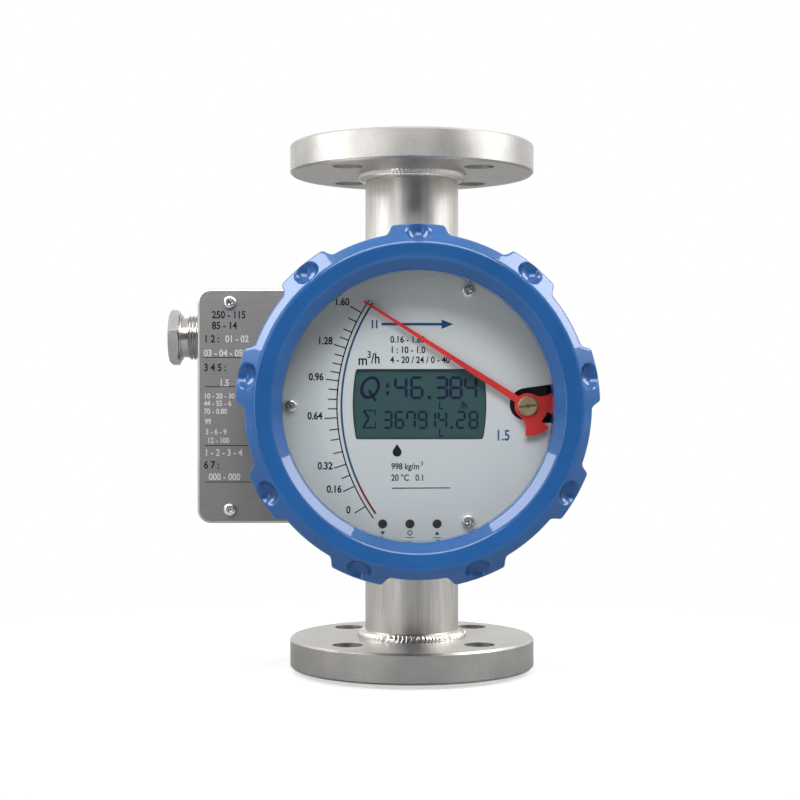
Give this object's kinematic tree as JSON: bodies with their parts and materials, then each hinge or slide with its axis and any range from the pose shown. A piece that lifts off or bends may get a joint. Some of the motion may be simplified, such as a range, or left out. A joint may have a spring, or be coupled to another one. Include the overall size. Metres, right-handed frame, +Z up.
{
  "type": "metal tube rotameter",
  "caption": "Flanged metal-tube variable-area flow meter with a round lobed screw cover, glazed dial, red magnetic pointer and rear wiring box.",
  "frame": {"origin": "centre of the inlet sealing face, on the tube's axis", "axes": "+Z up along the tube with the flow, the dial faces -Y, +X to the right of the dial"},
  "size_m": [0.1844, 0.1675, 0.25],
  "materials": {
    "blasted_stainless": "bead-blasted matt stainless steel, faint turning lines on the flange rims",
    "turned_stainless": "fine turned stainless steel",
    "spring_steel": "dark drawn spring steel",
    "box_stainless": "satin stainless steel",
    "plate_stainless": "stainless steel sheet brushed from side to side",
    "plug_nickel": "bright turned nickel-plated steel",
    "blue_gloss_paint": "thick bright blue gloss enamel with a faint orange peel",
    "window_glass": "clear flat glass, slightly green at its edge",
    "black_rubber": "matt black rubber",
    "plated_steel": "bright zinc-plated steel",
    "anodised_aluminium": "plain anodised aluminium",
    "dial_paint": "satin pale grey-white enamel with printed scale",
    "display_panel": "dark grey-green liquid-crystal display",
    "board_green": "green solder mask",
    "board_plastic": "natural nylon",
    "black_plastic": "matt black moulded plastic",
    "black_anodised": "satin black",
    "brass": "turned brass, slightly dulled",
    "spindle_steel": "ground steel",
    "red_paint": "satin red enamel",
    "magnet": "dark sintered magnet"
  },
  "bodies": {
    "meter": {"lower_flange": "blasted_stainless", "upper_flange": "blasted_stainless", "measuring_tube": "blasted_stainless", "lower_weld_bead": "blasted_stainless", "upper_weld_bead": "blasted_stainless", "upper_saddle": "blasted_stainless", "lower_saddle": "blasted_stainless", "metering_cone": "turned_stainless", "lower_guide": "turned_stainless", "upper_guide": "turned_stainless", "lower_stop_ring": "spring_steel", "upper_stop_ring": "spring_steel", "rear_box": "box_stainless", "nameplate": "plate_stainless", "blanking_plug": "plug_nickel", "head_bowl": "blue_gloss_paint", "nameplate_screws": "plated_steel", "dial_screws": "plated_steel", "bowl_screws": "plated_steel", "saddle_screws": "plated_steel", "board_screws": "plated_steel", "movement_screws": "plated_steel", "terminal_screws": "plated_steel", "dial_posts": "anodised_aluminium", "movement_pillars": "anodised_aluminium", "bearing_bridge": "anodised_aluminium", "dial_plate": "dial_paint", "display_module": "display_panel", "circuit_board": "board_green", "board_posts": "board_plastic", "key_switches": "black_plastic", "terminal_block": "black_plastic", "movement_plate": "black_anodised", "front_bearing": "brass", "rear_bearing": "brass"},
    "float": {"float_body": "turned_stainless", "float_magnet": "magnet", "float_cap": "turned_stainless"},
    "pointer_movement": {"pointer": "red_paint", "pointer_screw": "brass", "pointer_spindle": "spindle_steel", "follower_arm": "anodised_aluminium", "follower_magnet": "magnet"},
    "cover_thread": {"cover_seal": "black_rubber"},
    "cover": {"cover_ring": "blue_gloss_paint", "window_gasket": "black_rubber", "window_glass": "window_glass", "glass_ring": "anodised_aluminium"},
    "key_down": {"key_down": "black_plastic"},
    "key_set": {"key_set": "black_plastic"},
    "key_up": {"key_up": "black_plastic"}
  },
  "joints": [
    {"name": "float_travel", "type": "slide", "parent": "meter", "child": "float", "axis": [0, 0, 1], "range_m": [-0.04966, 0]},
    {"name": "pointer_swing", "type": "hinge", "parent": "meter", "child": "pointer_movement", "pos_m": [0.0466, -0.088, 0.125], "axis": [0, -1, 0], "range_deg": [0, 64.4]},
    {"name": "cover_travel", "type": "slide", "parent": "meter", "child": "cover_thread", "axis": [0, -1, 0], "range_m": [0, 0.01]},
    {"name": "cover_turn", "type": "hinge", "parent": "cover_thread", "child": "cover", "pos_m": [0, -0.09, 0.125], "axis": [0, -1, 0], "range_deg": [0, 1800]},
    {"name": "key_down_press", "type": "slide", "parent": "meter", "child": "key_down", "axis": [0, 1, 0], "range_m": [0, 0.0005], "stiffness_N_per_m": 400},
    {"name": "key_set_press", "type": "slide", "parent": "meter", "child": "key_set", "axis": [0, 1, 0], "range_m": [0, 0.0005], "stiffness_N_per_m": 400},
    {"name": "key_up_press", "type": "slide", "parent": "meter", "child": "key_up", "axis": [0, 1, 0], "range_m": [0, 0.0005], "stiffness_N_per_m": 400}
  ],
  "couplings": [
    {"joint": "pointer_swing", "follows": "float_travel", "rad_per_m": -22.631},
    {"joint": "cover_travel", "follows": "cover_turn", "m_per_rad": 0.0003183}
  ]
}
